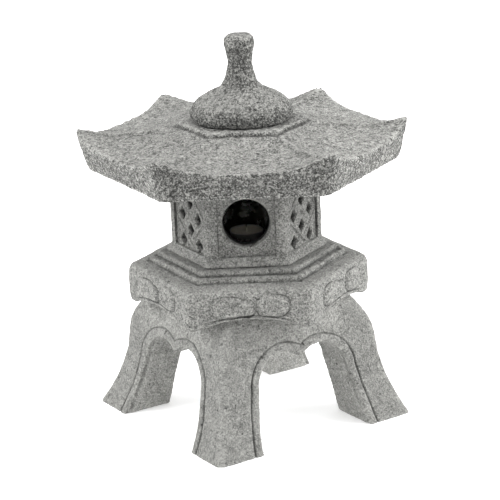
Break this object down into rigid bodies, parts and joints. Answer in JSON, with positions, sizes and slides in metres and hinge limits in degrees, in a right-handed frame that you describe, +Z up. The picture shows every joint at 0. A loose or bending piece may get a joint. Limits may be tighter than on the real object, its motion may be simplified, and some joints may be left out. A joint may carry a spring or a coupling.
{
  "type": "garden stone lantern",
  "caption": "Pagoda garden lantern of stacked cast stone: flared-leg base, hexagonal platform, windowed light box, upturned hexagonal roof, bell finial, candle cup inside.",
  "frame": {"origin": "on the ground, on the lantern's upright axis, in the plane of the four soles", "axes": "+Z up along the stacking axis; -Y out through the round window; +X to the right seen from the window side"},
  "size_m": [0.3802, 0.3618, 0.4456],
  "materials": {
    "cast_stone_smooth": "warm grey cast granite, fine open grain, matte",
    "cast_stone_coarse": "warm grey cast granite, coarse pitted grain, matte",
    "smoked_glass": "smooth dark glass",
    "thin_aluminium": "thin drawn foil cup, satin",
    "candle_wax": "candle wax, softly glossy",
    "tinned_steel": "thin stamped steel",
    "cotton_wick": "braided cotton, waxed"
  },
  "bodies": {
    "base": {"base": "cast_stone_smooth"},
    "platform": {"platform": "cast_stone_smooth"},
    "light_box": {"light_box": "cast_stone_smooth"},
    "roof": {"roof": "cast_stone_coarse"},
    "finial": {"finial": "cast_stone_coarse"},
    "candle_cup": {"candle_cup": "smoked_glass"},
    "tealight": {"tealight_tin": "thin_aluminium", "tealight_wax": "candle_wax", "wick_sustainer": "tinned_steel", "wick": "cotton_wick"}
  },
  "joints": [
    {"name": "platform_lift", "type": "slide", "parent": "base", "child": "platform", "axis": [0, 0, 1], "range_m": [0, 0.06]},
    {"name": "light_box_lift", "type": "slide", "parent": "platform", "child": "light_box", "axis": [0, 0, 1], "range_m": [0, 0.12]},
    {"name": "roof_lift", "type": "slide", "parent": "light_box", "child": "roof", "axis": [0, 0, 1], "range_m": [0, 0.12]},
    {"name": "finial_lift", "type": "slide", "parent": "roof", "child": "finial", "axis": [0, 0, 1], "range_m": [0, 0.06]},
    {"name": "candle_cup_lift", "type": "slide", "parent": "platform", "child": "candle_cup", "axis": [0, 0, 1], "range_m": [0, 0.028]},
    {"name": "tealight_lift", "type": "slide", "parent": "candle_cup", "child": "tealight", "axis": [0, 0, 1], "range_m": [0, 0.036]}
  ]
}
